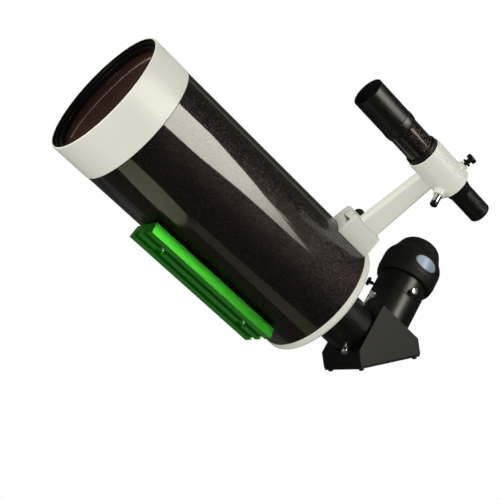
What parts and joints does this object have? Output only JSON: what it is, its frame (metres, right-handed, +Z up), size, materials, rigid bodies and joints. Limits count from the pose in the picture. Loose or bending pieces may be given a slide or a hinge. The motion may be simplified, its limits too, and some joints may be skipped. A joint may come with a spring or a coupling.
{
  "type": "maksutov telescope",
  "caption": "Maksutov telescope tube on a dovetail bar, with a tilting finder on a stalk, a star diagonal and a capped eyepiece.",
  "frame": {"origin": "middle of the dovetail bar's flat foot, on the rib between its grooves", "axes": "+Z up through the tube's axis, +Y from the open front to the eyepiece end, +X to the finder's side"},
  "size_m": [0.2339, 0.4627, 0.2478],
  "materials": {
    "white_paint": "semi-gloss powder coat",
    "sparkle_paint": "gloss brown-black with metal flake",
    "black_satin": "satin black anodised",
    "matte_black": "flat black",
    "dark_grey": "fine satin dark grey",
    "green_anodised": "bright green anodised",
    "chrome": "polished",
    "brass": "turned",
    "aluminium": "machined",
    "rubber": "soft matte black",
    "mirror": "aluminised glass",
    "glass": "coated, faint magenta and green reflections"
  },
  "bodies": {
    "optical_tube": {"tube": "sparkle_paint", "front_cell": "white_paint", "corrector_lens": "glass", "corrector_retaining_ring": "matte_black", "secondary_baffle": "matte_black", "rear_cell": "white_paint", "collimation_screw_1": "chrome", "collimation_screw_2": "chrome", "collimation_screw_3": "chrome", "primary_baffle_tube": "matte_black", "focus_bushing": "brass", "visual_back": "black_satin", "dovetail_bar": "green_anodised", "dovetail_screw_front": "chrome", "dovetail_screw_rear": "chrome", "dovetail_nut_plate": "aluminium", "finder_shoe": "white_paint", "finder_shoe_screw": "chrome"},
    "mirror_cell": {"primary_mirror": "mirror", "mirror_carrier": "aluminium", "mirror_retaining_ring": "matte_black"},
    "focuser": {"focus_knob": "rubber", "focus_shaft": "brass"},
    "visual_back_screw_a": {"visual_back_screw_upper": "chrome"},
    "visual_back_screw_b": {"visual_back_screw_lower": "chrome"},
    "shoe_screw": {"finder_shoe_thumbscrew": "dark_grey"},
    "finder_mount": {"finder_bracket": "white_paint", "plunger_housing": "chrome", "plunger_spring": "chrome"},
    "finder_pivot": {"finder_rubber_ring": "rubber"},
    "finder": {"finder_tube": "sparkle_paint", "finder_eyepiece_barrel": "black_satin", "finder_eye_lens": "glass", "finder_reticle": "matte_black"},
    "finder_objective": {"finder_objective_cell": "black_satin", "finder_objective_lens": "glass", "finder_dew_shade": "black_satin"},
    "adjust_screw_outer": {"finder_adjust_screw_outer": "black_satin"},
    "adjust_screw_upper": {"finder_adjust_screw_upper": "black_satin"},
    "plunger": {"plunger_pin": "chrome"},
    "nosepiece": {"diagonal_nosepiece": "chrome"},
    "diagonal": {"diagonal_body": "black_satin", "diagonal_cover": "black_satin", "cover_screw_1": "black_satin", "cover_screw_2": "black_satin", "cover_screw_3": "black_satin", "cover_screw_4": "black_satin", "diagonal_side_plate_right": "dark_grey", "diagonal_side_plate_left": "dark_grey", "diagonal_mirror": "mirror", "eyepiece_holder": "black_satin", "eyepiece_lock_collar": "black_satin"},
    "holder_screw_side": {"holder_thumbscrew_side": "chrome"},
    "holder_screw_front": {"holder_thumbscrew_front": "black_satin"},
    "eyepiece": {"eyepiece_body": "black_satin", "eyepiece_field_lens": "glass", "eyepiece_eye_lens": "glass", "eyecup": "rubber"},
    "cap": {"dust_cap": "rubber"}
  },
  "joints": [
    {"name": "focus_turn", "type": "hinge", "parent": "optical_tube", "child": "focuser", "pos_m": [-0.047, 0.1485, 0.0865], "axis": [0, 1, 0], "range_deg": [-3600, 3600]},
    {"name": "mirror_slide", "type": "slide", "parent": "optical_tube", "child": "mirror_cell", "axis": [0, 1, 0], "range_m": [-0.01, 0.01]},
    {"name": "visual_back_screw_upper_turn", "type": "hinge", "parent": "optical_tube", "child": "visual_back_screw_a", "pos_m": [0.01395, 0.1745, 0.11641], "axis": [0.4226, 0, 0.9063], "range_deg": [0, 720]},
    {"name": "visual_back_screw_lower_turn", "type": "hinge", "parent": "optical_tube", "child": "visual_back_screw_b", "pos_m": [0.0165, 0.1745, 0.05792], "axis": [0.5, 0, -0.866], "range_deg": [0, 720]},
    {"name": "shoe_screw_turn", "type": "hinge", "parent": "optical_tube", "child": "shoe_screw", "pos_m": [0.06364, 0.092, 0.15014], "axis": [-0.7071, 0, 0.7071], "range_deg": [0, 720]},
    {"name": "finder_mount_slide", "type": "slide", "parent": "optical_tube", "child": "finder_mount", "axis": [0, 1, 0], "range_m": [0, 0.05]},
    {"name": "finder_tilt", "type": "hinge", "parent": "finder_mount", "child": "finder_pivot", "pos_m": [0.13382, 0.07, 0.22032], "axis": [0.7071, 0, -0.7071], "range_deg": [-1.5, 1.5]},
    {"name": "finder_swing", "type": "hinge", "parent": "finder_pivot", "child": "finder", "pos_m": [0.13382, 0.07, 0.22032], "axis": [0.7071, 0, 0.7071], "range_deg": [-1.5, 1.5]},
    {"name": "finder_focus", "type": "slide", "parent": "finder", "child": "finder_objective", "axis": [0, -1, 0], "range_m": [0, 0.004]},
    {"name": "adjust_outer_travel", "type": "slide", "parent": "finder_mount", "child": "adjust_screw_outer", "axis": [0.7071, 0, 0.7071], "range_m": [-0.0011, 0.0011]},
    {"name": "adjust_upper_travel", "type": "slide", "parent": "finder_mount", "child": "adjust_screw_upper", "axis": [-0.7071, 0, 0.7071], "range_m": [-0.0011, 0.0011]},
    {"name": "plunger_travel", "type": "slide", "parent": "finder_mount", "child": "plunger", "axis": [0, 0, -1], "range_m": [0, 0.002], "stiffness_N_per_m": 400, "deforming": ["plunger_spring"]},
    {"name": "nosepiece_slide", "type": "slide", "parent": "optical_tube", "child": "nosepiece", "axis": [0, 1, 0], "range_m": [0, 0.04]},
    {"name": "diagonal_turn", "type": "hinge", "parent": "nosepiece", "child": "diagonal", "pos_m": [0, 0.1835, 0.0865], "axis": [0, 1, 0], "continuous": true},
    {"name": "holder_screw_side_turn", "type": "hinge", "parent": "diagonal", "child": "holder_screw_side", "pos_m": [0.02978, 0.21184, 0.1568], "axis": [0.9925, -0.1219, 0], "range_deg": [0, 720]},
    {"name": "holder_screw_front_turn", "type": "hinge", "parent": "diagonal", "child": "holder_screw_front", "pos_m": [-0.01721, 0.19093, 0.1568], "axis": [-0.5736, -0.8192, 0], "range_deg": [0, 720]},
    {"name": "eyepiece_slide", "type": "slide", "parent": "diagonal", "child": "eyepiece", "axis": [0, 0, 1], "range_m": [0, 0.04]},
    {"name": "dust_cap_lift", "type": "slide", "parent": "eyepiece", "child": "cap", "axis": [0, 0, 1], "range_m": [0, 0.07]}
  ],
  "couplings": [
    {"joint": "focus_turn", "follows": "mirror_slide", "rad_per_m": 6283.2},
    {"joint": "adjust_outer_travel", "follows": "finder_tilt", "m_per_rad": 0.0415},
    {"joint": "adjust_upper_travel", "follows": "finder_swing", "m_per_rad": 0.0415}
  ]
}
